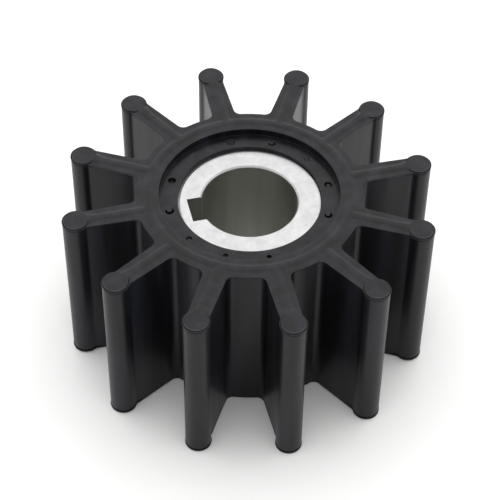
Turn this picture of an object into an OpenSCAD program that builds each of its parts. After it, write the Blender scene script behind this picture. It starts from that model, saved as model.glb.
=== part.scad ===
// Flexible-vane pump impeller: a moulded rubber body bonded onto a keyed metal hub insert.
// The shaft axis is Z, the bottom end face lies on Z = 0 and the keyway opens towards -X.

/* [Rubber body] */
// Diameter over the tips of the vanes
tip_d = 98; // [90:0.5:120]
// Width of the body from end face to end face
body_w = 49.2; // [30:0.1:80]
// Diameter of the hub at the bottom of the pockets between the vanes
hub_d = 59; // [54:0.5:64]
// How many vanes stand around the hub
vane_count = 12; // [6:1:14]

/* [Vanes] */
// Thickness of a vane where it leaves the hub
vane_root_t = 6.2; // [5:0.1:7]
// Thickness of a vane where it meets the bulb
vane_tip_t = 5.4; // [4:0.1:6]
// Diameter of the round bulb along the free edge of a vane
bulb_d = 7; // [6.4:0.1:9]
// Radius of the fillet between a vane and the hub
root_fillet_r = 2; // [0.5:0.1:3]
// Radius of the fillet between a vane and its bulb
neck_fillet_r = 1.2; // [0.4:0.1:3]

/* [End faces] */
// Height of the raised sealing beads and bulb pads
bead_h = 0.4; // [0.2:0.1:0.6]
// Width of a bead across its flat crest
bead_crest_w = 0.7; // [0.4:0.1:1.6]
// Width of a bead across its foot
bead_foot_w = 3; // [1.7:0.1:3.6]
// How far the edge of a bulb pad is set in from the edge of the end face around it
pad_inset = 0.3; // [0.05:0.05:0.5]
// Distance of the moulding's parting step from the end face
parting_z = 1; // [0.8:0.1:2]
// Width of the parting step
parting_step = 0.1; // [0.05:0.05:0.3]

/* [Recesses] */
// Diameter of the round recess in each end of the hub
recess_d = 47; // [44:0.2:49]
// Depth of the recess below the end face
recess_h = 2.5; // [1.5:0.1:4]
// Diameter of the small pits that the mould's locating pins leave in the floor of the recess
pit_d = 1.8; // [1.2:0.1:3]
// Depth of a pit
pit_h = 0.7; // [0.5:0.1:1.2]
// Diameter of the low nub in the middle of a pit
nub_d = 0.8; // [0.4:0.1:1.4]
// Height of the nub
nub_h = 0.4; // [0.1:0.1:0.6]

/* [Hub insert] */
// Outside diameter of the metal insert, which is also the bore of the rubber
insert_d = 37.5; // [34:0.5:41]
// How far the insert's end faces lie below the floor of the recess
insert_sink = 1; // [0.5:0.1:2]
// Bore for the pump shaft
bore_d = 25; // [18:0.5:27]
// Chamfer at the ends of the bore
bore_chamfer = 0.6; // [0.2:0.1:1.5]
// Chamfer around the outside of the insert
outer_chamfer = 0.5; // [0.3:0.1:1.5]
// Width of the keyway
key_w = 8; // [4:0.5:10]
// Depth of the keyway, measured from the wall of the bore along its middle
key_h = 3.3; // [2:0.1:4]

/* [Hidden] */
$fn = 96;
// how far a cut runs past the face that it starts from
past = 1;
// how far a vane is drawn on into the hub
root_sink = 3;
// how far a fillet's arc dips into the two sides that it joins, so that it crosses them
fillet_bite = 0.002;
// how far the piece that fills a corner reaches into both sides
corner_depth = 0.5;

rubber_colour = [0.17, 0.17, 0.18];
metal_colour = [0.86, 0.86, 0.85];

vane_pitch = 360 / vane_count;
hub_r = hub_d / 2;
bulb_r = bulb_d / 2;
// distance of the middle of a bulb from the shaft axis
bulb_pitch_r = tip_d / 2 - bulb_r;
// angle between a vane's flank and its centre line, because the vane thins outwards
flank_angle = atan((vane_root_t - vane_tip_t) / 2 / (bulb_pitch_r - hub_r));
// distance of a flank, drawn on inwards, from the shaft axis
flank_offset = hub_r * sin(flank_angle) + vane_root_t / 2 * cos(flank_angle);

// the round bead runs along the middle of the rim between the recess and the pockets
ring_bead_r = (recess_d + hub_d) / 4;
pad_r = bulb_r - parting_step - pad_inset;

insert_end_z = recess_h + insert_sink;
insert_l = body_w - 2 * insert_end_z;
// the pits lie in the middle of the floor between the insert and the recess's wall
pit_pitch_r = (insert_d + recess_d) / 4;

// Fills the corner between a flank, which lies along y = flank_y, and a circle of radius round_r
// around [round_x, round_y]. side is -1 where the fillet lies on the hub's side of the circle and 1
// where it lies beyond it. Its arc dips into both by fillet_bite.
module corner_fillet(fillet_r, flank_y, round_r, round_x, round_y, side) {
    reach = round_r + fillet_r;
    centre_y = flank_y + fillet_r;
    centre_x = round_x + side * sqrt(reach * reach - (centre_y - round_y) * (centre_y - round_y));
    // share of the way from the fillet's centre to the circle's, which ends inside the circle
    inside = (fillet_r + corner_depth) / reach;
    inside_x = centre_x + (round_x - centre_x) * inside;
    inside_y = centre_y + (round_y - centre_y) * inside;
    difference() {
        polygon([
            [centre_x, centre_y], [centre_x, flank_y - corner_depth],
            [inside_x, flank_y - corner_depth], [inside_x, inside_y]
        ]);
        translate([centre_x, centre_y]) circle(r = fillet_r + fillet_bite);
    }
}

// Both fillets of one flank. inset moves the whole outline inwards.
module flank_fillets(inset) {
    flank_y = flank_offset - inset;
    rotate(-flank_angle) {
        corner_fillet(root_fillet_r + inset, flank_y, hub_r - inset, 0, 0, 1);
        corner_fillet(neck_fillet_r + inset, flank_y, bulb_r - inset,
            bulb_pitch_r * cos(flank_angle), bulb_pitch_r * sin(flank_angle), -1);
    }
}

// One vane with its bulb, seen along the shaft.
module vane_outline(inset) {
    root_y = vane_root_t / 2 - inset / cos(flank_angle);
    tip_y = vane_tip_t / 2 - inset / cos(flank_angle);
    // the vane is drawn on into the hub along the same taper
    inner_x = hub_r - root_sink;
    inner_y = root_y + root_sink * tan(flank_angle);
    polygon([[inner_x, -inner_y], [bulb_pitch_r, -tip_y], [bulb_pitch_r, tip_y], [inner_x, inner_y]]);
    translate([bulb_pitch_r, 0]) circle(r = bulb_r - inset);
    flank_fillets(inset);
    mirror([0, 1]) flank_fillets(inset);
}

// The whole body, seen along the shaft.
module body_outline(inset) {
    circle(r = hub_r - inset);
    for (i = [0 : vane_count - 1])
        rotate(i * vane_pitch) vane_outline(inset);
}

// Cross-section of a sealing bead, standing on y = 0.
module bead_section() {
    polygon([[-bead_foot_w / 2, 0], [bead_foot_w / 2, 0], [bead_crest_w / 2, bead_h], [-bead_crest_w / 2, bead_h]]);
}

// The raised relief of one end face, standing on Z = 0: a round bead on the hub, a straight bead
// along every vane and a flat pad on every bulb.
module end_relief() {
    rotate_extrude() translate([ring_bead_r, 0]) bead_section();
    for (i = [0 : vane_count - 1])
        rotate(i * vane_pitch) {
            translate([ring_bead_r, 0, 0]) rotate([90, 0, 90])
                linear_extrude(height = bulb_pitch_r - ring_bead_r) bead_section();
            translate([bulb_pitch_r, 0, 0]) cylinder(r = pad_r, h = bead_h);
        }
}

// What one end of the hub loses: the round recess and the pits in its floor. The end face is Z = 0
// and the body lies below it.
module end_recess() {
    translate([0, 0, -recess_h]) cylinder(d = recess_d, h = recess_h + past);
    for (i = [0 : vane_count - 1])
        rotate(i * vane_pitch) translate([pit_pitch_r, 0, -recess_h - pit_h])
            difference() {
                cylinder(d = pit_d, h = pit_h + past / 2);
                translate([0, 0, -past]) cylinder(d = nub_d, h = past + nub_h);
            }
}

module rubber_body() {
    color(rubber_colour)
    difference() {
        union() {
            translate([0, 0, parting_z])
                linear_extrude(height = body_w - 2 * parting_z) body_outline(0);
            translate([0, 0, bead_h])
                linear_extrude(height = body_w - 2 * bead_h) body_outline(parting_step);
            translate([0, 0, body_w - bead_h]) end_relief();
            mirror([0, 0, 1]) translate([0, 0, -bead_h]) end_relief();
        }
        translate([0, 0, -past]) cylinder(d = insert_d, h = body_w + 2 * past);
        translate([0, 0, body_w]) end_recess();
        mirror([0, 0, 1]) end_recess();
    }
}

// Half of the insert's section, turned around the shaft axis.
module insert_section() {
    inner = bore_d / 2;
    outer = insert_d / 2;
    polygon([
        [inner, bore_chamfer], [inner + bore_chamfer, 0],
        [outer - outer_chamfer, 0], [outer, outer_chamfer],
        [outer, insert_l - outer_chamfer], [outer - outer_chamfer, insert_l],
        [inner + bore_chamfer, insert_l], [inner, insert_l - bore_chamfer]
    ]);
}

module hub_insert() {
    key_reach = bore_d / 2 + key_h;
    color(metal_colour)
    translate([0, 0, insert_end_z])
        difference() {
            rotate_extrude() insert_section();
            translate([-key_reach, -key_w / 2, -past]) cube([key_reach, key_w, insert_l + 2 * past]);
        }
}

rubber_body();
hub_insert();
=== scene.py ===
"""The looks of a flexible-vane pump impeller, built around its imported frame.

The part is a moulded rubber body with bulb-tipped vanes, bonded onto a turned and keyed metal insert.
Sizes in the classes are in millimetres. Meshes, lamps and the camera are in metres, in the part's own
frame: the shaft axis is Z, the lower end face lies on Z = 0 and the keyway opens towards -X.
"""

import logging
import math
from collections.abc import Iterable, Sequence
from dataclasses import dataclass, field
from enum import Enum

import bmesh
import bpy
import numpy as np
from bpy.types import Material, Node, NodeSocket, NodeTree, Object
from mathutils import Matrix, Vector
from mathutils.geometry import delaunay_2d_cdt


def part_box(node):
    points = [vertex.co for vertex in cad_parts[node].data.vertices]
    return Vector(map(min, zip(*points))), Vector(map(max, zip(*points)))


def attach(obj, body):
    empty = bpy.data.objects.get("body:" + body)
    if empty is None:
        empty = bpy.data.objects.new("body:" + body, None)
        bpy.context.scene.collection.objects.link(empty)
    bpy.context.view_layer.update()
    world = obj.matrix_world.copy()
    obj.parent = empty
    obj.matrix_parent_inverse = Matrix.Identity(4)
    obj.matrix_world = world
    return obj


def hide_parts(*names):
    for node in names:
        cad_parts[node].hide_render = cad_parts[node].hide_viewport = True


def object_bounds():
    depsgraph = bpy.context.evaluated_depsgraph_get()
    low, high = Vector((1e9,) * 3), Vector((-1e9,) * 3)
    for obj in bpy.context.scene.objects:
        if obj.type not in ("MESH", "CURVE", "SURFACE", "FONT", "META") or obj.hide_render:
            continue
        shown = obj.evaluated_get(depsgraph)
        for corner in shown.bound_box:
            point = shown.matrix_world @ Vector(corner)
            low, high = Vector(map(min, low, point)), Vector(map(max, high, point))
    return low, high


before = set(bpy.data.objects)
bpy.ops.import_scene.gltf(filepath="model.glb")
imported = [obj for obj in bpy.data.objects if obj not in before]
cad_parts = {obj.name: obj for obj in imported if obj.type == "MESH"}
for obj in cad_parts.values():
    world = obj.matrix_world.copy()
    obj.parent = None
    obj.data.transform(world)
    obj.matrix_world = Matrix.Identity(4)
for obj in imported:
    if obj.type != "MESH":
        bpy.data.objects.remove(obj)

log = logging.getLogger("pump_impeller")

MM = 0.001
CAD_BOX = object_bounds()


class Slot(Enum):
    """The record's material slots."""

    RUBBER = "rubber"
    INSERT = "insert"


class End(Enum):
    """The two end faces of the part."""

    LOWER = "lower"
    UPPER = "upper"


# Small helpers for curves and meshes


def arc(centre: Sequence[float], radius: float, start: float, end: float, steps: int) -> np.ndarray:
    """The steps + 1 points along an arc from one angle to another, in radians."""
    angles = np.linspace(start, end, steps + 1)
    return np.column_stack([centre[0] + radius * np.cos(angles), centre[1] + radius * np.sin(angles)])


def circle(radius: float, steps: int, centre: Sequence[float] = (0.0, 0.0)) -> np.ndarray:
    """Points around a full circle, the first one not repeated."""
    return arc(centre, radius, 0.0, math.tau, steps)[:-1]


def turned(points: np.ndarray, angle: float) -> np.ndarray:
    """The points turned around the shaft axis by an angle in radians."""
    c, s = math.cos(angle), math.sin(angle)
    return points @ np.array([[c, s], [-s, c]])


def eased(value: np.ndarray) -> np.ndarray:
    """A smooth step from 0 to 1 while the value goes from 0 to 1."""
    t = np.clip(value, 0.0, 1.0)
    return t * t * (3.0 - 2.0 * t)


def rounded(radius: float, steps: int) -> list[tuple[float, float, float]]:
    """Rings of a rounded edge: distance from its wall, depth below its face and share of the painted
    highlight on it.
    """
    turns = np.linspace(0.0, math.pi / 2, steps + 1)
    return [(radius * (1 - math.sin(a)), radius * (1 - math.cos(a)), math.sin(2 * a)) for a in turns]


def inside(points: np.ndarray, loop: np.ndarray) -> np.ndarray:
    """Tells which points lie inside a closed loop.

    Args:
        points: The points to test.
        loop: The loop's corners in order.

    Returns:
        One truth value for each point.
    """
    x, y = points[:, 0][:, None], points[:, 1][:, None]
    x0, y0 = loop[:, 0][None, :], loop[:, 1][None, :]
    x1, y1 = np.roll(x0, -1, axis=1), np.roll(y0, -1, axis=1)
    straddles = (y0 > y) != (y1 > y)
    rise = np.where(y1 == y0, 1.0, y1 - y0)
    left_of = x < (x1 - x0) * (y - y0) / rise + x0
    return (np.count_nonzero(straddles & left_of, axis=1) % 2).astype(bool)


@dataclass
class Patch:
    """A flat region cut into triangles.

    Attributes:
        points: Its points, of which the first ones are those of the outer loop and then of the hole.
        triangles: Rows of three point numbers.
    """

    points: np.ndarray
    triangles: np.ndarray


def filled(outer: np.ndarray, hole: np.ndarray, lines: Iterable[tuple[np.ndarray, bool]]) -> Patch:
    """Fills the region between a loop and a hole with triangles that keep to the given lines.

    Args:
        outer: The outer loop.
        hole: The loop of the hole.
        lines: Lines that triangle edges have to follow, each with whether it is closed.

    Returns:
        The filled region.
    """
    chains = [(outer, True), (hole, True), *lines]
    points = np.vstack([chain for chain, _ in chains])
    edges: list[tuple[int, int]] = []
    start = 0
    for chain, is_closed in chains:
        numbers = list(range(start, start + len(chain)))
        edges += list(zip(numbers, numbers[1:]))
        if is_closed:
            edges.append((numbers[-1], numbers[0]))
        start += len(chain)
    found, _, faces, sources, _, _ = delaunay_2d_cdt([Vector(p) for p in points], edges, [], 0, 1e-5)
    made = np.array([tuple(p) for p in found], float)
    fixed = len(outer) + len(hole)
    order = np.full(len(made), -1)
    for number, given in enumerate(sources):
        for source in given:
            made[number] = points[source]
            if source < fixed:
                order[number] = source
    free = np.flatnonzero(order < 0)
    order[free] = fixed + np.arange(len(free))
    placed = np.empty_like(made)
    placed[order] = made
    triangles = order[np.array(faces)]
    middles = placed[triangles].mean(axis=1)
    kept = inside(middles, outer) & ~inside(middles, hole)
    return Patch(placed, triangles[kept])


class MeshDraft:
    """Points and faces of a mesh, collected ring by ring, in millimetres."""

    def __init__(self) -> None:
        """Starts with no points and no faces."""
        self.points: list[np.ndarray] = []
        self.painted_light: list[np.ndarray] = []
        self.faces: list[tuple[int, ...]] = []
        self.count = 0

    def add(self, flat: np.ndarray, z: float | np.ndarray, painted_light: float | np.ndarray = 0.0) -> np.ndarray:
        """Adds points at a height.

        Args:
            flat: Their X and Y.
            z: Their height, one for all or one for each.
            painted_light: 1 for a painted highlight on an edge and -1 for painted shade in a crease, for all
                or for each.

        Returns:
            The numbers of the new points.
        """
        heights, light_paint = (np.broadcast_to(np.asarray(v, float), (len(flat),)) for v in (z, painted_light))
        self.points.append(np.column_stack([flat, heights]))
        self.painted_light.append(light_paint)
        self.count += len(flat)
        return np.arange(self.count - len(flat), self.count)

    def face(self, numbers: Iterable[int]) -> None:
        """Adds a face between points of the mesh."""
        self.faces.append(tuple(int(number) for number in numbers))

    def strip(self, first: np.ndarray, second: np.ndarray) -> None:
        """Joins two open lines of as many points with a strip of quads."""
        for corners in zip(first, first[1:], second[1:], second):
            self.face(corners)

    def band(self, first: np.ndarray, second: np.ndarray) -> None:
        """Joins two closed rings of as many points with a band of quads."""
        self.strip(np.append(first, first[0]), np.append(second, second[0]))

    def bands(self, rings: Sequence[np.ndarray]) -> None:
        """Joins each ring to the next one."""
        for first, second in zip(rings, rings[1:]):
            self.band(first, second)

    def skin(self, patch: Patch, z: np.ndarray, painted_light: np.ndarray, edge: np.ndarray) -> None:
        """Adds a filled region whose first points are already in the mesh.

        Args:
            patch: The region.
            z: The height of each of its points.
            painted_light: The painted highlight and shade of each of its points.
            edge: The numbers that the points of its outer loop and hole have in this mesh.
        """
        inner = self.add(patch.points[len(edge):], z[len(edge):], painted_light[len(edge):])
        numbers = np.concatenate([edge, inner])
        for triangle in patch.triangles:
            self.face(numbers[triangle])

    def build(self, name: str, sharp_angle: float) -> Object:
        """Makes the object, with smooth faces and sharp edges where it turns by more than an angle.

        Args:
            name: The object's name.
            sharp_angle: The angle in degrees.

        Returns:
            The new object, in metres.
        """
        mesh = bpy.data.meshes.new(name)
        mesh.from_pydata((np.vstack(self.points) * MM).tolist(), [], self.faces)
        draft = bmesh.new()
        draft.from_mesh(mesh)
        bmesh.ops.recalc_face_normals(draft, faces=draft.faces)
        for edge in draft.edges:
            edge.smooth = edge.is_manifold and edge.calc_face_angle(math.pi) < math.radians(sharp_angle)
        for face in draft.faces:
            face.smooth = True
        draft.to_mesh(mesh)
        draft.free()
        # the painted highlight and shade, which the rubber's material reads
        light_paint = mesh.attributes.new("painted_light", "FLOAT", "POINT")
        light_paint.data.foreach_set("value", np.concatenate(self.painted_light))
        piece = bpy.data.objects.new(name, mesh)
        bpy.context.scene.collection.objects.link(piece)
        return piece


def weight_normals(piece: Object) -> None:
    """Lets the large flat faces set the shading, so that only the rounded edges look rounded."""
    modifier = piece.modifiers.new("weighted_normals", "WEIGHTED_NORMAL")
    modifier.keep_sharp = True


# The rubber body


@dataclass(frozen=True)
class BodySizes:
    """Sizes of the rubber body, in millimetres.

    The overall ones are read from the frame. The attributes listed here shape the soft edges.

    Attributes:
        bead_share: Height of the beads' crests as a share of the pads'.
        bead_run: Length over which a vane's bead rises to its pad.
        bead_spread: How far it broadens there, to each side.
        highlight_inset: How far inside a pad's edge the painted highlight lies, as a share of pad_edge_w.
        highlight_reach: Half the width of the painted highlight, as the same share.
        groove_run: Distance from a bulb over which the parting line's groove fades.
        groove_fade: The share of the groove that is left on the flanks and the hub.
        rim_r: Radius of an end face's outer rim.
        edge_r: Radius of a recess's rim.
        fine_edge_r: Radius of the edge around the insert.
        pit_slope: Width of a pit's wall as a share of pit_d.
    """

    tip_d: float
    body_w: float
    bore_d: float
    insert_end_z: float
    hub_d: float = 59.0
    vane_count: int = 12
    vane_root_t: float = 6.2
    vane_tip_t: float = 5.4
    bulb_d: float = 7.0
    root_fillet_r: float = 2.0
    neck_fillet_r: float = 1.2
    bead_h: float = 0.4
    bead_crest_w: float = 0.7
    bead_foot_w: float = 3.0
    bead_share: float = 0.55
    bead_run: float = 2.0
    bead_spread: float = 0.5
    pad_inset: float = 0.25
    pad_edge_w: float = 0.12
    highlight_inset: float = 0.3
    highlight_reach: float = 0.7
    crease_w: float = 0.16
    crease_depth: float = 0.12
    parting_z: float = 1.0
    parting_step: float = 0.1
    groove_w: float = 0.36
    groove_depth: float = 0.2
    groove_run: float = 2.5
    groove_fade: float = 0.15
    rim_r: float = 0.1
    edge_r: float = 0.15
    fine_edge_r: float = 0.06
    recess_d: float = 47.0
    recess_h: float = 2.5
    recess_foot_r: float = 0.1
    pit_d: float = 1.8
    pit_h: float = 0.7
    pit_slope: float = 0.17
    nub_d: float = 0.8
    nub_h: float = 0.4

    @property
    def hub_r(self) -> float:
        """Radius of the hub at the bottom of the pockets."""
        return self.hub_d / 2

    @property
    def bulb_r(self) -> float:
        """Radius of a bulb."""
        return self.bulb_d / 2

    @property
    def bulb_pitch_r(self) -> float:
        """Distance of a bulb's middle from the shaft axis."""
        return self.tip_d / 2 - self.bulb_r

    @property
    def pad_r(self) -> float:
        """Radius of the flat pad on a bulb."""
        return self.bulb_r - self.parting_step - self.pad_inset

    @property
    def vane_pitch(self) -> float:
        """Angle from one vane to the next, in radians."""
        return math.tau / self.vane_count

    @property
    def flank_angle(self) -> float:
        """Angle between a vane's flank and its centre line, in radians."""
        return math.atan((self.vane_root_t - self.vane_tip_t) / 2 / (self.bulb_pitch_r - self.hub_r))

    @property
    def flank_offset(self) -> float:
        """Distance of a flank, drawn on inwards, from the shaft axis."""
        angle = self.flank_angle
        return self.hub_r * math.sin(angle) + self.vane_root_t / 2 * math.cos(angle)

    @property
    def ring_bead_r(self) -> float:
        """Radius of the round bead, in the middle of the rim around the recess."""
        return (self.recess_d + self.hub_d) / 4

    @property
    def pit_pitch_r(self) -> float:
        """Distance of the pits from the shaft axis."""
        return (self.bore_d + self.recess_d) / 4


@dataclass(frozen=True)
class PinMark:
    """The mark that one of the mould's pins left: a pit, more or less filled by the flow of the rubber.

    Attributes:
        depth: Its depth as a share of pit_h.
        width: Its width as a share of pit_d.
        nub: The height of its nub as a share of nub_h.
        nub_width: The nub's width as a share of nub_d.
        shift: How far the nub stands off the pit's middle towards +Y, in millimetres.
    """

    depth: float
    width: float
    nub: float = 0.0
    nub_width: float = 1.0
    shift: float = 0.0


@dataclass
class RubberBody:
    """The moulded rubber: hub, vanes with bulbs, sealing beads, pads, recesses and pits.

    Attributes:
        sizes: Its sizes.
        circle_steps: Steps around each round edge of the hub.
        bulb_steps: Steps around half a bulb. The next three lead along the rest of half a vane.
        edge_steps: Steps across a rounded edge.
        bead_lines: Lines along each side of a bead.
        bead_points: Points of each of them.
        pad_steps: Steps around a pad.
        pit_steps: Steps around a pit.
        pit_rings: Rings of a pit.
        rim_highlight: Strength of the painted highlight along an end face's rim.
        recess_highlight: Strength of the painted highlight along a recess's rim.
        sharp_angle: Angle in degrees above which an edge stays sharp.
        pin_marks: The pits, counted from the vane at +X.
    """

    sizes: BodySizes
    circle_steps: int = 240
    bulb_steps: int = 26
    fillet_steps: int = 8
    flank_steps: int = 8
    hub_steps: int = 6
    edge_steps: int = 4
    bead_lines: int = 8
    bead_points: int = 14
    pad_steps: int = 60
    pit_steps: int = 20
    pit_rings: int = 14
    rim_highlight: float = 0.25
    recess_highlight: float = 0.3
    sharp_angle: float = 50.0
    pin_marks: tuple[PinMark, ...] = (
        PinMark(0.9, 1.2, nub=1.5, nub_width=1.3, shift=-0.35),
        PinMark(0.25, 1.1, nub=0.4, shift=0.4),
        PinMark(0.7, 1.15, nub=1.2, nub_width=1.4, shift=0.35),
        PinMark(0.4, 1.2, nub=0.6, nub_width=1.3, shift=0.2),
        PinMark(0.1, 1.0),
        PinMark(1.3, 1.2),
        PinMark(1.2, 1.35, nub=2.1, nub_width=1.8, shift=0.5),
        PinMark(0.7, 0.95, nub=0.9, shift=-0.3),
        PinMark(0.8, 0.8),
        PinMark(0.9, 0.75),
        PinMark(0.3, 0.8, nub=0.4, shift=0.3),
        PinMark(1.1, 1.2, nub=1.9, nub_width=1.5, shift=0.4),
    )
    draft: MeshDraft = field(default_factory=MeshDraft)

    def half_vane(self, inset: float) -> np.ndarray:
        """The +Y half of the vane at +X, from its tip to the middle of the pocket.

        Args:
            inset: How far the outline is moved inwards.

        Returns:
            As many points for every inset.
        """
        s = self.sizes
        flank_down = -math.pi / 2 - s.flank_angle
        bulb = np.array([s.bulb_pitch_r, 0.0])
        bulb_on_flank = turned(bulb, s.flank_angle)
        neck_reach = s.bulb_r + s.neck_fillet_r
        neck_y = s.flank_offset + s.neck_fillet_r
        neck_x = bulb_on_flank[0] - math.sqrt(neck_reach**2 - (neck_y - bulb_on_flank[1]) ** 2)
        neck = turned(np.array([neck_x, neck_y]), -s.flank_angle)
        root_reach = s.hub_r + s.root_fillet_r
        root_y = s.flank_offset + s.root_fillet_r
        root = turned(np.array([math.sqrt(root_reach**2 - root_y**2), root_y]), -s.flank_angle)
        bulb_end = math.atan2(*(neck - bulb)[::-1])
        hub_start = math.atan2(root[1], root[0])
        bulb_arc = arc(bulb, s.bulb_r - inset, 0.0, bulb_end, self.bulb_steps)
        neck_r, root_r = s.neck_fillet_r + inset, s.root_fillet_r + inset
        neck_arc = arc(neck, neck_r, bulb_end - math.pi, flank_down, self.fillet_steps)
        root_arc = arc(root, root_r, flank_down, hub_start - math.pi, self.fillet_steps)
        hub_arc = arc((0.0, 0.0), s.hub_r - inset, hub_start, s.vane_pitch / 2, self.hub_steps)
        flank = np.linspace(neck_arc[-1], root_arc[0], self.flank_steps + 1)[1:-1]
        return np.vstack([bulb_arc, neck_arc[1:], flank, root_arc, hub_arc[1:]])

    def outline(self, inset: float) -> np.ndarray:
        """The whole body seen along the shaft, as one closed loop.

        Args:
            inset: How far the outline is moved inwards.

        Returns:
            As many points for every inset.
        """
        half = self.half_vane(inset)
        mirrored = half[::-1] * np.array([1.0, -1.0])
        vane = np.vstack([mirrored, half[1:-1]])
        s = self.sizes
        return np.vstack([turned(vane, k * s.vane_pitch) for k in range(s.vane_count)])

    def to_vane(self, flat: np.ndarray) -> tuple[np.ndarray, np.ndarray]:
        """Places points in the frame of the nearest vane.

        Args:
            flat: The points.

        Returns:
            Their distances along the vane and across it.
        """
        radius = np.hypot(flat[:, 0], flat[:, 1])
        angle = np.arctan2(flat[:, 1], flat[:, 0])
        pitch = self.sizes.vane_pitch
        angle = angle - np.round(angle / pitch) * pitch
        return radius * np.cos(angle), np.abs(radius * np.sin(angle))

    def from_bulb(self, flat: np.ndarray) -> np.ndarray:
        """Distance of points from the middle of the nearest bulb."""
        along, across = self.to_vane(flat)
        return np.hypot(along - self.sizes.bulb_pitch_r, across)

    def on_vane(self, radius: float, vane: int) -> np.ndarray:
        """The point on a vane's centre line that lies at a radius."""
        return turned(np.array([radius, 0.0]), vane * self.sizes.vane_pitch)

    def relief(self, flat: np.ndarray) -> np.ndarray:
        """Height of the end face above its flats, as a share of bead_h.

        Args:
            flat: Points of the end face.

        Returns:
            A value from 0 to 1 for each point.
        """
        s = self.sizes
        from_ring = np.abs(np.hypot(flat[:, 0], flat[:, 1]) - s.ring_bead_r)
        soft = s.bead_foot_w - s.bead_crest_w
        ring = s.bead_share * eased((s.bead_foot_w / 2 - from_ring) / soft * 2)
        pad = eased((s.pad_r + s.pad_edge_w / 2 - self.from_bulb(flat)) / s.pad_edge_w)
        return 1.0 - (1.0 - ring) * (1.0 - self.vane_bead(flat)) * (1.0 - pad)

    def vane_bead(self, flat: np.ndarray) -> np.ndarray:
        """Height of the bead along a vane, which leaves the round bead and broadens into the pad.

        Args:
            flat: Points of the end face.

        Returns:
            The height at each point as a share of bead_h.
        """
        s = self.sizes
        along, across = self.to_vane(flat)
        start = eased((along - s.ring_bead_r) / (s.bead_foot_w / 2))
        rise = eased((along - s.bulb_pitch_r + s.pad_r) / s.bead_run + 1.0)
        from_line = np.hypot(across, np.clip(along - s.bulb_pitch_r, 0.0, None))
        reach = s.bead_foot_w / 2 + s.bead_spread * rise - from_line
        crest = s.bead_share + (1.0 - s.bead_share) * rise
        return start * crest * eased(reach / (s.bead_foot_w - s.bead_crest_w) * 2)

    def face_painted_light(self, flat: np.ndarray) -> np.ndarray:
        """Painted light on an end face: a painted highlight along the pads' edges and painted shade at their
        feet.

        Args:
            flat: Points of the end face.

        Returns:
            The painted light at each point: positive for highlight, negative for shade.
        """
        s = self.sizes
        from_rim = (self.from_bulb(flat) - s.pad_r) / s.pad_edge_w
        # a painted highlight: a pale line just inside each pad's edge
        wear_and_highlight = 1.0 - np.clip(np.abs(from_rim + s.highlight_inset) / s.highlight_reach, 0.0, 1.0)
        return wear_and_highlight * (1.0 - self.vane_bead(flat)) - self.crease(flat)

    def crease(self, flat: np.ndarray) -> np.ndarray:
        """Depth of the crease at a pad's foot, which ends where the bead runs in.

        Args:
            flat: Points of the end face.

        Returns:
            The depth at each point as a share of crease_depth.
        """
        s = self.sizes
        middle = s.pad_r + (s.pad_edge_w + s.crease_w) / 2
        from_middle = np.abs(self.from_bulb(flat) - middle)
        # the middle third is flat
        return np.clip(1.5 - from_middle / s.crease_w * 3, 0.0, 1.0) * (1.0 - self.vane_bead(flat))

    def relief_lines(self) -> list[tuple[np.ndarray, bool]]:
        """Lines that the triangles of an end face follow, along the beads and around the pads.

        Returns:
            Each line with whether it is closed.
        """
        s = self.sizes
        offsets = np.linspace(s.bead_crest_w / 2, s.bead_foot_w / 2 + s.bead_spread, self.bead_lines)
        sides = np.concatenate([-offsets[::-1], [0.0], offsets])
        lines = [(circle(s.ring_bead_r + t, self.circle_steps), True) for t in sides]
        along = np.linspace(s.ring_bead_r, s.bulb_pitch_r - s.bulb_r / 2, self.bead_points)
        # lines across the soft edge of a pad and the crease at its foot, as shares of their widths
        rim = s.pad_r + np.array([-3.0, -1.0, -0.5, -0.3, -0.1, 0.1, 0.3, 0.5]) * s.pad_edge_w
        foot = s.pad_r + s.pad_edge_w / 2 + np.array([0.33, 0.67, 1.0]) * s.crease_w
        pads = np.concatenate([rim, foot])
        for k in range(s.vane_count):
            for t in sides:
                line = np.column_stack([along, np.full(len(along), t)])
                lines.append((turned(line, k * s.vane_pitch), False))
            middle = self.on_vane(s.bulb_pitch_r, k)
            lines += [(circle(radius, self.pad_steps, middle), True) for radius in pads]
        return lines

    def groove_rows(self) -> list[tuple[float, float, float]]:
        """The rings that lead from the rim of an end past the groove of the parting line.

        On the bulbs the rim overhangs the body, where the two halves of the mould met.

        Returns:
            For each ring its inset on a bulb, its depth below the end and the painted shade in the groove,
            as a negative value.
        """
        s = self.sizes
        foot = s.parting_step + s.groove_depth
        return [
            (0.0, s.parting_z - s.groove_w / 2, -0.3),
            (foot * 0.8, s.parting_z - s.groove_w * 0.4, -1.0),
            (foot, s.parting_z, -1.0),
            (foot * 0.8, s.parting_z + s.groove_w * 0.4, -1.0),
            (s.parting_step + s.groove_depth * 0.1, s.parting_z + s.groove_w * 0.6, -0.3),
            (s.parting_step, s.parting_z + s.groove_w, 0.0),
            (s.parting_step, s.parting_z + s.groove_w * 2, 0.0),
        ]

    def groove_share(self) -> np.ndarray:
        """How clear the parting groove is at each point of the outline: full on a bulb, faint elsewhere."""
        s = self.sizes
        past_bulb = self.from_bulb(self.outline(0.0)) - s.bulb_r
        return 1.0 - (1.0 - s.groove_fade) * eased(past_bulb / s.groove_run)

    def height(self, depth: float | np.ndarray, end: End) -> float | np.ndarray:
        """Height above the floor of what lies at a depth below an end."""
        return self.sizes.body_w - depth if end is End.UPPER else depth

    def outer_wall(self, end: End) -> list[np.ndarray]:
        """Adds the rings of one end's outer edge.

        Args:
            end: The end.

        Returns:
            The rings' point numbers, from the end face down.
        """
        s = self.sizes
        # a painted highlight runs along the rounded rim
        rings = [
            self.draft.add(self.outline(inset), self.height(s.bead_h + down, end), self.rim_highlight * light_paint)
            for inset, down, light_paint in rounded(s.rim_r, self.edge_steps)
        ]
        flush, share = self.outline(0.0), self.groove_share()
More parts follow.
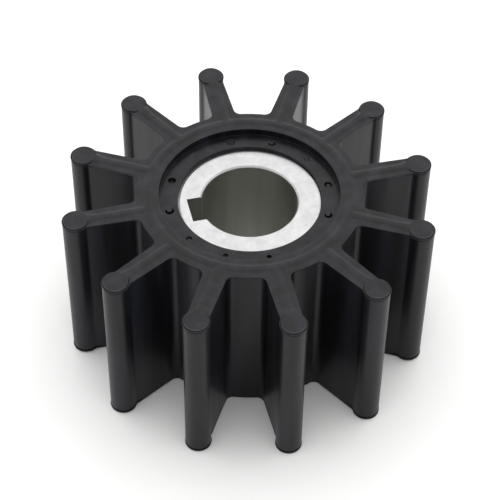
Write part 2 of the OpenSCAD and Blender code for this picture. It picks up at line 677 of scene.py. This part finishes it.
        # painted shade lies in the parting groove
        for inset, depth, painted_light in self.groove_rows():
            ring = flush + share[:, None] * (self.outline(inset) - flush)
            rings.append(self.draft.add(ring, self.height(depth, end), painted_light * share))
        self.draft.bands(rings)
        return rings

    def round_wall(self, rows: Iterable[tuple[float, float, float]], end: End) -> list[np.ndarray]:
        """Adds circles around the shaft axis, each joined to the next.

        Args:
            rows: For each circle its radius, its depth below the end and its painted light.
            end: The end.

        Returns:
            The circles' point numbers.
        """
        rings = [
            self.draft.add(circle(radius, self.circle_steps), self.height(depth, end), painted_light)
            for radius, depth, painted_light in rows
        ]
        self.draft.bands(rings)
        return rings

    def recess_wall(self, end: End) -> list[np.ndarray]:
        """Adds the rings of one end's recess wall, with its rounded rim and foot.

        Args:
            end: The end.

        Returns:
            The rings' point numbers, from the rim down.
        """
        s = self.sizes
        radius = s.recess_d / 2
        rim = rounded(s.edge_r, self.edge_steps)
        foot = rounded(s.recess_foot_r, self.edge_steps * 2)
        # a painted highlight runs along the recess's rounded rim
        rows = [(radius + out, s.bead_h + down, self.recess_highlight * light_paint) for out, down, light_paint in rim]
        rows += [(radius - down, s.recess_h - out, 0.0) for out, down, _ in foot]
        return self.round_wall(rows, end)

    def floor_depth(self, flat: np.ndarray) -> np.ndarray:
        """Depth of the recess floor below the end, pits among it.

        Args:
            flat: Points of the floor.

        Returns:
            The depth at each point.
        """
        s = self.sizes
        depth = np.full(len(flat), s.recess_h)
        wall = s.pit_d * s.pit_slope
        for k, mark in enumerate(self.pin_marks):
            from_middle = flat - self.on_vane(s.pit_pitch_r, k)
            radius = s.pit_d / 2 * mark.width
            pit = eased((radius - np.hypot(*from_middle.T)) / wall)
            from_nub = np.hypot(*(from_middle - (0.0, mark.shift)).T)
            nub = eased((s.nub_d / 2 * mark.nub_width + wall - from_nub) / wall)
            sunk = mark.depth * s.pit_h - mark.nub * s.nub_h * nub
            depth += np.clip(sunk, 0.0, None) * pit
        return depth

    def pit_lines(self) -> list[tuple[np.ndarray, bool]]:
        """Circles that the triangles of the recess floor follow around the pits.

        Returns:
            Each circle with whether it is closed.
        """
        s = self.sizes
        # the outermost ring lies around the widest pit
        radii = np.linspace(s.pit_d * 0.7, s.pit_d / 16, self.pit_rings)
        middles = [self.on_vane(s.pit_pitch_r, k) for k in range(s.vane_count)]
        return [(circle(radius, self.pit_steps, middle), True) for middle in middles for radius in radii]

    def bore_edge(self, end: End) -> list[np.ndarray]:
        """Adds the rings around the insert, where the floor's rubber ends.

        Args:
            end: The end.

        Returns:
            The rings' point numbers, from the floor down.
        """
        s = self.sizes
        radius = s.bore_d / 2
        lip = rounded(s.fine_edge_r, self.edge_steps // 2)
        rows = [(radius + out, s.recess_h + down, 0.0) for out, down, _ in lip]
        return self.round_wall([*rows, (radius, s.insert_end_z, 0.0)], end)

    def build_end(self, end: End) -> tuple[np.ndarray, np.ndarray]:
        """Adds everything of one end.

        Args:
            end: The end.

        Returns:
            The lowest ring of the outer wall, and that of the bore.
        """
        s = self.sizes
        outer = self.outer_wall(end)
        recess = self.recess_wall(end)
        bore = self.bore_edge(end)
        edge = self.outline(s.rim_r)
        rim = circle(s.recess_d / 2 + s.edge_r, self.circle_steps)
        face = filled(edge, rim, self.relief_lines())
        depth = s.bead_h * (1.0 - self.relief(face.points)) + s.crease_depth * self.crease(face.points)
        # painted highlight just inside the pads' edges, painted shade in the creases at their feet
        painted_light = self.face_painted_light(face.points)
        self.draft.skin(face, self.height(depth, end), painted_light, np.concatenate([outer[0], recess[0]]))
        foot = circle(s.recess_d / 2 - s.recess_foot_r, self.circle_steps)
        lip = circle(s.bore_d / 2 + s.fine_edge_r, self.circle_steps)
        floor = filled(foot, lip, self.pit_lines())
        depth = self.floor_depth(floor.points)
        # painted shade darkens a pit from half its depth down
        painted_light = np.clip((s.recess_h - depth) / s.pit_h * 2, -1.0, 0.0)
        self.draft.skin(floor, self.height(depth, end), painted_light, np.concatenate([recess[-1], bore[0]]))
        return outer[-1], bore[-1]

    def build(self) -> Object:
        """Makes the whole rubber body.

        Returns:
            The object, which stands for the node rubber_body.
        """
        upper_wall, upper_bore = self.build_end(End.UPPER)
        lower_wall, lower_bore = self.build_end(End.LOWER)
        self.draft.band(upper_wall, lower_wall)
        self.draft.band(upper_bore, lower_bore)
        piece = self.draft.build("moulded_rubber_body", self.sharp_angle)
        weight_normals(piece)
        return piece


# The hub insert


@dataclass(frozen=True)
class InsertSizes:
    """Sizes of the metal insert, in millimetres.

    The overall ones are read from the frame.

    Attributes:
        outer_chamfer_h: Height of the outer chamfer, whose width is outer_chamfer in the mean.
        rim_shift: X and Y by which the end face's rim is turned off the shaft axis.
    """

    outer_d: float
    low_z: float
    high_z: float
    bore_d: float = 25.0
    bore_chamfer: float = 0.45
    outer_chamfer: float = 0.5
    outer_chamfer_h: float = 0.25
    rim_shift: tuple[float, float] = (0.3, -0.18)
    key_w: float = 8.0
    key_h: float = 3.3
    broken_edge: float = 0.08


@dataclass
class HubInsert:
    """The turned bush with its chamfers and broached keyway.

    Attributes:
        sizes: Its sizes.
        steps: Steps around the bore, which are even.
        sharp_angle: Angle in degrees above which an edge is broken with a bevel.
    """

    sizes: InsertSizes
    steps: int = 160
    sharp_angle: float = 15.0
    draft: MeshDraft = field(default_factory=MeshDraft)

    def bore_arc(self, radius: float) -> np.ndarray:
        """Points around the bore from one side of the keyway to the other."""
        half = math.asin(self.sizes.key_w / 2 / radius)
        return arc((0.0, 0.0), radius, -math.pi + half, math.pi - half, self.steps)

    def outer_circle(self, radius: float) -> np.ndarray:
        """Points around the outside, starting at -X."""
        return arc((0.0, 0.0), radius, -math.pi, math.pi, self.steps)[:-1]

    def build(self) -> Object:
        """Makes the insert.

        Returns:
            The object, which stands for the node hub_insert.
        """
        s = self.sizes
        mesh = self.draft
        inner, outer = s.bore_d / 2, s.outer_d / 2
        mouth = inner + s.bore_chamfer
        key_x = -(inner + s.key_h)
        key_corners = np.array([[key_x, s.key_w / 2], [key_x, 0.0], [key_x, -s.key_w / 2]])
        columns = []
        for face_z, inward in ((s.high_z, -1.0), (s.low_z, 1.0)):
            rim = mesh.add(self.outer_circle(outer - s.outer_chamfer) + s.rim_shift, face_z)
            side = mesh.add(self.outer_circle(outer), face_z + inward * s.outer_chamfer_h)
            edge = mesh.add(self.bore_arc(mouth), face_z)
            wall = mesh.add(self.bore_arc(inner), face_z + inward * s.bore_chamfer)
            key = mesh.add(key_corners, face_z)
            mesh.band(rim, side)
            mesh.strip(edge, wall)
            # the end face is cut in two along Y = 0, so that each half is one loop
            half = self.steps // 2
            for first, last, corner in ((0, half, key[2]), (half, self.steps, key[0])):
                around = [rim[n % self.steps] for n in range(first, last + 1)]
                back = list(edge[first:last + 1][::-1])
                ends = [corner, key[1]]
                mesh.face(around + back + ends if first == 0 else around + ends[::-1] + back)
            columns.append((side, edge, wall, key))
        (side_a, edge_a, wall_a, key_a), (side_b, edge_b, wall_b, key_b) = columns
        mesh.band(side_a, side_b)
        mesh.strip(wall_a, wall_b)
        for n, k in ((-1, 0), (0, 2)):
            mesh.face((key_a[k], edge_a[n], wall_a[n], wall_b[n], edge_b[n], key_b[k]))
        mesh.strip(key_a, key_b)
        piece = mesh.build("turned_hub_insert", self.sharp_angle)
        self.break_edges(piece)
        return piece

    def finish(self) -> Material:
        """Makes the insert's finish, which follows its faces, walls and outer chamfer."""
        s = self.sizes
        return TurnedSteel(
            face_r=s.outer_d / 2 - s.outer_chamfer,
            middle_z=(s.low_z + s.high_z) / 2,
            wall_half=(s.high_z - s.low_z) / 2 - s.bore_chamfer,
        ).build()

    def break_edges(self, piece: Object) -> None:
        """Takes the sharpness off the insert's edges with a fine bevel.

        Args:
            piece: The insert.
        """
        bevel = piece.modifiers.new("broken_edges", "BEVEL")
        bevel.width = self.sizes.broken_edge * MM
        bevel.segments = 2
        bevel.limit_method = "ANGLE"
        bevel.angle_limit = math.radians(self.sharp_angle)
        weight_normals(piece)


# Finishes

NodeValue = float | str | bool | tuple[float, ...] | NodeSocket


def linear(code: str) -> tuple[float, float, float, float]:
    """Turns an sRGB hex colour into the linear one that shaders take.

    Args:
        code: The colour, such as "#1c1c1f".

    Returns:
        Red, green, blue and an alpha of 1.
    """
    parts = [int(code[n:n + 2], 16) / 255 for n in (1, 3, 5)]
    red, green, blue = (c / 12.92 if c <= 0.04045 else ((c + 0.055) / 1.055) ** 2.4 for c in parts)
    return red, green, blue, 1.0


def add_node(
    tree: NodeTree,
    kind: str,
    inputs: dict[str | int, NodeValue] | None = None,
    **settings: object,
) -> Node:
    """Adds a node with its settings and links.

    Args:
        tree: The node tree.
        kind: The node's type, without the ShaderNode that all begin with.
        inputs: For each input either a value or the socket that feeds it.
        **settings: The node's properties.

    Returns:
        The new node.
    """
    node = tree.nodes.new("ShaderNode" + kind)
    for name, value in settings.items():
        setattr(node, name, value)
    for key, value in (inputs or {}).items():
        if isinstance(value, NodeSocket):
            tree.links.new(value, node.inputs[key])
        else:
            node.inputs[key].default_value = value
    return node


def mapping(
    value: NodeSocket,
    source: tuple[float, float],
    target: tuple[float, float] = (0.0, 1.0),
) -> dict[str, NodeValue]:
    """Inputs for a node that maps values from their source range to a target range."""
    names = ("Value", "From Min", "From Max", "To Min", "To Max")
    return dict(zip(names, (value, *source, *target)))


def new_material(name: str) -> Material:
    """Makes a material whose node tree is empty.

    Args:
        name: Its name.

    Returns:
        The new material.
    """
    material = bpy.data.materials.new(name)
    material.use_nodes = True
    material.node_tree.nodes.clear()
    return material


def add_surface(material: Material, inputs: dict[str | int, NodeValue]) -> Material:
    """Ends a material's node tree with its shader.

    Args:
        material: The material.
        inputs: What the shader takes.

    Returns:
        The same material.
    """
    tree = material.node_tree
    shader = add_node(tree, "BsdfPrincipled", inputs)
    add_node(tree, "OutputMaterial", {"Surface": shader.outputs["BSDF"]})
    return material


def millimetres(tree: NodeTree, drawn: float = 1.0) -> NodeSocket:
    """Coordinates of the part in millimetres, for patterns whose scale is a real size.

    Args:
        tree: The material's node tree.
        drawn: Factor for Z. A small one draws a pattern out along the shaft, and 0 leaves Z out.

    Returns:
        The socket of the coordinates.
    """
    place = add_node(tree, "TexCoord").outputs["Object"]
    scaled = {0: place, 1: (1 / MM, 1 / MM, drawn / MM)}
    return add_node(tree, "VectorMath", scaled, operation="MULTIPLY").outputs[0]


@dataclass(frozen=True)
class MouldedRubber:
    """Black nitrile rubber, compression moulded in a blasted steel cavity.

    The eye sees a satin charcoal skin under a thin waxy film: it picks up a broad, weak sheen, and is
    near black where little light falls. A faint grey bloom lies on it in soft patches, and the flanks
    carry streaks along the shaft, from the way the moulding was drawn. A painted highlight lies along
    rims and crests, and painted shade darkens the creases at their feet. Sizes and heights are in
    millimetres.

    Attributes:
        bloom_draw: How the bloom's patches are drawn out along the shaft.
        bloom_range: Values of their pattern between which the bloom sets in.
        streak_draw: How the streaks are drawn out along it.
        streak_range: Values of their pattern that give the two ends of roughness.
        gloss: Strength of the skin's own reflection.
        film: Strength of the waxy film's reflection.
    """

    name: str = "nitrile_rubber_compression_moulded"
    colour: str = "#0c0c0f"
    bloom: str = "#1c1d23"
    # colour of the painted highlight along rims and crests
    wear_and_highlight: str = "#48484d"
    # colour of the painted shade in creases, grooves and pits
    crease_shade: str = "#060607"
    bloom_size: float = 4.0
    bloom_draw: float = 0.08
    bloom_range: tuple[float, float] = (0.38, 0.68)
    grain_size: float = 0.45
    grain_h: float = 0.012
    streak_w: float = 1.4
    streak_draw: float = 0.06
    streak_range: tuple[float, float] = (0.3, 0.7)
    wave_size: float = 5.0
    wave_h: float = 0.03
    roughness: tuple[float, float] = (0.47, 0.53)
    gloss: float = 0.1
    film: float = 0.33
    film_roughness: float = 0.24

    def light_paint(self, tree: NodeTree, skin: NodeSocket) -> NodeSocket:
        """Lays a painted highlight on the rims and painted shade in the creases over the skin's colour.

        Args:
            tree: The material's node tree.
            skin: The colour without painted light.

        Returns:
            The socket of the colour with painted light.
        """
        painted_light = add_node(tree, "Attribute", attribute_name="painted_light").outputs["Fac"]
        dark = add_node(tree, "MapRange", mapping(painted_light, (0.0, -1.0))).outputs["Result"]
        # the painted highlight goes on first, then the painted shade
        for share, code in ((painted_light, self.wear_and_highlight), (dark, self.crease_shade)):
            layers = {"Factor": share, "A": skin, "B": linear(code)}
            mixed = add_node(tree, "Mix", layers, data_type="RGBA", clamp_factor=True)
            skin = mixed.outputs["Result"]
        return skin

    def build(self) -> Material:
        """Makes the material.

        Returns:
            The material, which reads the painted highlight and shade from the mesh's "wear".
        """
        material = new_material(self.name)
        tree = material.node_tree
        place = millimetres(tree)
        # real grain is about 0.1 mm, too fine to show, so it is drawn at grain_size
        bloom, streaks, grain, waves = (
            add_node(tree, "TexNoise", {"Vector": at, "Scale": 1 / size, "Detail": detail}).outputs["Fac"]
            for at, size, detail in (
                (millimetres(tree, self.bloom_draw), self.bloom_size, 4.0),
                (millimetres(tree, self.streak_draw), self.streak_w, 3.0),
                (place, self.grain_size, 2.0),
                (place, self.wave_size, 1.0),
            )
        )
        share = add_node(tree, "MapRange", mapping(bloom, self.bloom_range), interpolation_type="SMOOTHSTEP")
        layers = {"Factor": share.outputs["Result"], "A": linear(self.colour), "B": linear(self.bloom)}
        colour = add_node(tree, "Mix", layers, data_type="RGBA")
        roughness = add_node(tree, "MapRange", mapping(streaks, self.streak_range, self.roughness))
        normal = {}
        for pattern, height in ((waves, self.wave_h), (grain, self.grain_h)):
            bump = {"Height": pattern, "Distance": height * MM, "Strength": 1.0}
            normal = {"Normal": add_node(tree, "Bump", bump | normal).outputs["Normal"]}
        skin = {
            "Base Color": self.light_paint(tree, colour.outputs["Result"]),
            "Roughness": roughness.outputs["Result"],
            "IOR": 1.5,
            "Specular IOR Level": self.gloss,
            "Coat Weight": self.film,
            "Coat Roughness": self.film_roughness,
        }
        return add_surface(material, skin | normal)


@dataclass(frozen=True)
class TurnedSteel:
    """Stainless steel, faced and bored on a lathe, with a broached keyway.

    The eye sees a bright, pale grey face with soft rubbed patches and faint rings around the shaft axis,
    a dull grey chamfer outside, wider on one side, and a darker, slightly yellow bore with soft bands
    along the shaft. Sizes and heights are in millimetres.

    Attributes:
        face_r: Radius of the flat end face.
        middle_z: Height of the insert's middle.
        wall_half: Half the length of the bore's straight wall.
        patch_range: Values of the patches' and bands' patterns between which the tint changes.
        band_draw: How the bands are drawn out along the shaft.
        feed: Distance between the tool's marks.
        feed_range: Values of their pattern that give the two ends of roughness.
    """

    face_r: float
    middle_z: float
    wall_half: float
    name: str = "stainless_steel_turned"
    colour: str = "#c3c3c3"
    wear_and_highlight: str = "#b4b4b5"
    wall: str = "#d0d0cb"
    stained: str = "#c5c4bd"
    patch_size: float = 2.6
    patch_range: tuple[float, float] = (0.35, 0.65)
    band_w: float = 5.0
    band_draw: float = 0.05
    feed: float = 0.55
    feed_h: float = 0.003
    feed_range: tuple[float, float] = (0.3, 0.7)
    roughness: tuple[float, float] = (0.28, 0.40)
    chamfer_roughness: float = 0.5

    def zones(self, tree: NodeTree) -> tuple[NodeSocket, NodeSocket]:
        """Tells the insert's walls and its outer chamfer from its faces.

        Args:
            tree: The material's node tree.

        Returns:
            Two sockets that are 1 on the walls and on the outer chamfer.
        """
        value = add_node(tree, "SeparateXYZ", {"Vector": millimetres(tree)}).outputs["Z"]
        steps = (("SUBTRACT", self.middle_z), ("ABSOLUTE", 0.0), ("LESS_THAN", self.wall_half))
        for operation, number in steps:
            step = add_node(tree, "Math", {0: value, 1: number}, operation=operation)
            value = step.outputs[0]
        reach = {0: self.radius(tree), 1: self.face_r}
        chamfer = add_node(tree, "Math", reach, operation="GREATER_THAN")
        return value, chamfer.outputs[0]

    def radius(self, tree: NodeTree) -> NodeSocket:
        """The distance from the shaft axis in millimetres."""
        level = {0: millimetres(tree, 0.0)}
        return add_node(tree, "VectorMath", level, operation="LENGTH").outputs["Value"]

    def rings(self, tree: NodeTree) -> NodeSocket:
        """The tool's marks, which change fast with the radius and slowly around the axis.

        Args:
            tree: The material's node tree.

        Returns:
            The socket of the pattern.
        """
        level = {0: millimetres(tree, 0.0)}
        around = add_node(tree, "VectorMath", level, operation="NORMALIZE")
        outwards = add_node(tree, "CombineXYZ", {"Z": self.radius(tree)})
        both = {0: around.outputs[0], 1: outwards.outputs["Vector"]}
        track = add_node(tree, "VectorMath", both, operation="ADD").outputs[0]
        # the real feed is about 0.1 mm a turn, too fine to show, so it is drawn at feed
        marks = {"Vector": track, "Scale": 1 / self.feed, "Detail": 3.0, "Roughness": 0.6}
        return add_node(tree, "TexNoise", marks).outputs["Fac"]

    def tint(self, tree: NodeTree, wall: NodeSocket) -> NodeSocket:
        """The metal's colour: rubbed patches on the faces, soft bands on the walls.

        Args:
            tree: The material's node tree.
            wall: The socket that is 1 on the walls.

        Returns:
            The socket of the colour.
        """
        tints = []
        for at, size, detail, roughness, first, second in (
            (millimetres(tree), self.patch_size, 5.0, 0.65, self.colour, self.wear_and_highlight),
            (millimetres(tree, self.band_draw), self.band_w, 2.0, 0.5, self.wall, self.stained),
        ):
            noise = {"Vector": at, "Scale": 1 / size, "Detail": detail, "Roughness": roughness}
            pattern = add_node(tree, "TexNoise", noise).outputs["Fac"]
            share = add_node(tree, "MapRange", mapping(pattern, self.patch_range))
            layers = {"Factor": share.outputs["Result"], "A": linear(first), "B": linear(second)}
            tints.append(add_node(tree, "Mix", layers, data_type="RGBA").outputs["Result"])
        layers = {"Factor": wall, "A": tints[0], "B": tints[1]}
        return add_node(tree, "Mix", layers, data_type="RGBA").outputs["Result"]

    def build(self) -> Material:
        """Makes the material.

        Returns:
            The material, which is laid out for an insert of these sizes.
        """
        material = new_material(self.name)
        tree = material.node_tree
        wall, chamfer = self.zones(tree)
        rings = self.rings(tree)
        spread = mapping(rings, self.feed_range, self.roughness)
        turned_roughness = add_node(tree, "MapRange", spread).outputs["Result"]
        zones = {"Factor": chamfer, "A": turned_roughness, "B": self.chamfer_roughness}
        roughness = add_node(tree, "Mix", zones, data_type="FLOAT")
        marks = {"Height": rings, "Distance": self.feed_h * MM, "Strength": 1.0}
        bump = add_node(tree, "Bump", marks)
        surface = {
            "Base Color": self.tint(tree, wall),
            "Metallic": 1.0,
            "Roughness": roughness.outputs["Result"],
            "Normal": bump.outputs["Normal"],
        }
        return add_surface(material, surface)


@dataclass(frozen=True)
class PaintedFloor:
    """A matt white painted table, which the eye sees as a plain pale ground."""

    name: str = "white_paint_rolled"
    colour: str = "#fafaf9"
    roughness: float = 0.9

    def build(self) -> Material:
        """Makes the material."""
        paint = {"Base Color": linear(self.colour), "Roughness": self.roughness}
        return add_surface(new_material(self.name), paint)


# The studio


@dataclass(frozen=True)
class CameraFit:
    """Where the photograph was taken from, as fitted to the part's edges, in millimetres and degrees.

    Attributes:
        lens: Focal length for a sensor of 36 mm.
        elevation: Angle of the line of sight above the horizon.
        roll: Turn of the picture around the line of sight.
        azimuth: Turn of the line of sight around the shaft axis.
        distance: From the camera to the middle of the upper end face.
        aim_right: How far that middle lies right of the picture's.
        aim_down: How far it lies below the picture's.
    """

    lens: float = 125.27
    elevation: float = 47.626
    roll: float = 0.849
    azimuth: float = -14.146
    distance: float = 448.635
    aim_right: float = -0.099
    aim_down: float = -15.231


@dataclass
class Studio:
    """The floor, the soft light around it and the camera.

    Attributes:
        body_w: Height of the part, in millimetres.
        fit: The camera's place.
        fill: Strength of the tent's dark side.
        key: Strength of its bright side, which lies behind the part and above it.
        key_elevation: How high the middle of the bright side stands, in degrees.
        key_spread: Cosines of the angles from that middle where the light starts and ends to rise.
        floor_half: Half the floor's width, in metres.
        floor_gap: How far the floor lies below the part, in millimetres.
    """

    body_w: float
    fit: CameraFit = field(default_factory=CameraFit)
    fill: float = 0.8
    key: float = 1.65
    key_elevation: float = 50.0
    key_spread: tuple[float, float] = (-0.1, 0.9)
    floor_half: float = 3.0
    floor_gap: float = 0.02

    def lay_floor(self) -> None:
        """Lays a wide, plain floor under the part."""
        half = self.floor_half
        mesh = bpy.data.meshes.new("studio_floor")
        corners = [(-half, -half, 0.0), (half, -half, 0.0), (half, half, 0.0), (-half, half, 0.0)]
        mesh.from_pydata(corners, [], [(0, 1, 2, 3)])
        mesh.materials.append(PaintedFloor().build())
        floor = bpy.data.objects.new("studio_floor", mesh)
        floor.location.z = -self.floor_gap * MM
        bpy.context.scene.collection.objects.link(floor)

    def light(self) -> None:
        """Surrounds the part with the white light of a tent that is brighter behind and above it."""
        world = bpy.data.worlds.new("light_tent")
        world.use_nodes = True
        tree = world.node_tree
        tree.nodes.clear()
        lift = math.radians(self.key_elevation)
        towards = Vector((0.0, math.cos(lift), math.sin(lift)))
        towards = Matrix.Rotation(math.radians(self.fit.azimuth), 3, "Z") @ towards
        sides = {0: add_node(tree, "TexCoord").outputs["Generated"], 1: tuple(towards)}
        facing = add_node(tree, "VectorMath", sides, operation="DOT_PRODUCT")
        rise = mapping(facing.outputs["Value"], self.key_spread, (self.fill, self.key))
        strength = add_node(tree, "MapRange", rise, interpolation_type="SMOOTHSTEP")
        white = {"Color": (1.0, 1.0, 1.0, 1.0), "Strength": strength.outputs["Result"]}
        glow = add_node(tree, "Background", white)
        add_node(tree, "OutputWorld", {"Surface": glow.outputs["Background"]})
        bpy.context.scene.world = world
        bpy.context.scene.view_settings.view_transform = "Standard"

    def place_camera(self) -> None:
        """Puts the camera where the photograph was taken from."""
        fit = self.fit
        pose = Matrix.Translation((0.0, 0.0, self.body_w * MM))
        for angle, axis in ((fit.azimuth, "Z"), (90.0 - fit.elevation, "X"), (fit.roll, "Z")):
            pose @= Matrix.Rotation(math.radians(angle), 4, axis)
        pose @= Matrix.Translation(Vector((-fit.aim_right, fit.aim_down, fit.distance)) * MM)
        data = bpy.data.cameras.new("photo_camera")
        data.lens = fit.lens
        data.sensor_width = 36.0
        data.clip_start = 0.01
        data.clip_end = 20.0
        camera = bpy.data.objects.new("photo_camera", data)
        camera.matrix_world = pose
        bpy.context.scene.collection.objects.link(camera)
        bpy.context.scene.camera = camera

    def build(self) -> None:
        """Sets up the whole studio."""
        self.lay_floor()
        self.light()
        self.place_camera()


def dress(piece: Object, node: str, finish: Material) -> None:
    """Puts a piece in the place of its node, with its finish.

    Args:
        piece: The detailed piece.
        node: The node that it stands for.
        finish: The material.
    """
    piece.data.materials.append(finish)
    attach(piece, "root")
    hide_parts(node)
    log.info("%s stands for %s, with %d faces", piece.name, node, len(piece.data.polygons))


def main() -> None:
    """Builds and dresses the part, then the studio around it."""
    logging.basicConfig(level=logging.INFO, format="%(message)s")
    part_low, part_high = (Vector(corner) / MM for corner in CAD_BOX)
    low, high = (Vector(corner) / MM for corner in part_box("hub_insert"))
    tip_d, height = part_high.x - part_low.x, part_high.z - part_low.z
    insert_d = high.x - low.x
    insert = HubInsert(InsertSizes(outer_d=insert_d, low_z=low.z, high_z=high.z))
    rubber = RubberBody(BodySizes(tip_d=tip_d, body_w=height, bore_d=insert_d, insert_end_z=low.z))
    dress(rubber.build(), "rubber_body", MouldedRubber().build())
    dress(insert.build(), "hub_insert", insert.finish())
    Studio(body_w=height).build()


if __name__ == "__main__":
    main()
